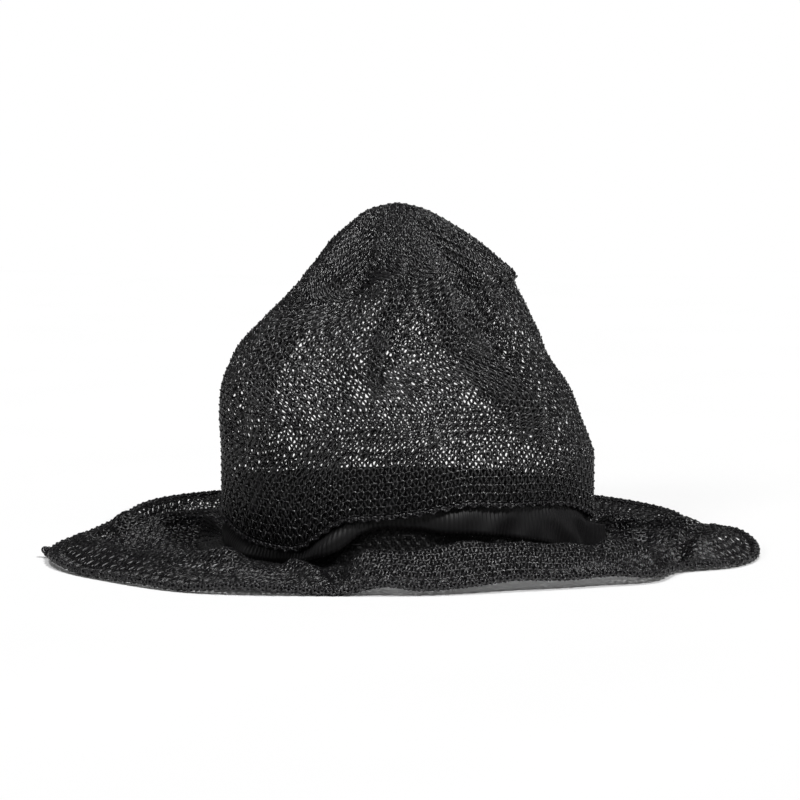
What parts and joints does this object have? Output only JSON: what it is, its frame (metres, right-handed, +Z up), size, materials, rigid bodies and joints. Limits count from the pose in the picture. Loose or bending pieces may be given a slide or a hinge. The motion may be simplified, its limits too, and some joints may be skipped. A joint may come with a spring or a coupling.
{
  "type": "open-knit veil hat",
  "caption": "Soft open-knit hat worn as a head veil: tall slouching see-through crown, ribbon band sewn inside its lower edge and a wide floppy brim.",
  "frame": {"origin": "centre of the head opening, on the plane that the brim lies on", "axes": "+Z up through the crown's peak, +X towards the wearer's left as the hat is seen from its front, -Y the front that the picture shows"},
  "size_m": [0.3623, 0.319, 0.177],
  "materials": {
    "crown_knit": "open knit of smooth black paper yarn, slightly glossy",
    "brim_knit": "open knit of smooth black paper yarn, slightly glossy",
    "edge_yarn": "chain-worked black paper yarn, slightly glossy",
    "grosgrain": "black ribbed grosgrain ribbon, satin",
    "thread": "black sewing thread, matt"
  },
  "bodies": {
    "root": {"crown": "crown_knit", "crown_tip": "crown_knit", "crown_hem": "edge_yarn", "ribbon": "grosgrain", "ribbon_tacks": "thread", "brim": "brim_knit", "brim_edge": "edge_yarn", "edge_knot": "edge_yarn", "crown_stitches": "thread", "brim_stitches": "thread"}
  },
  "joints": []
}
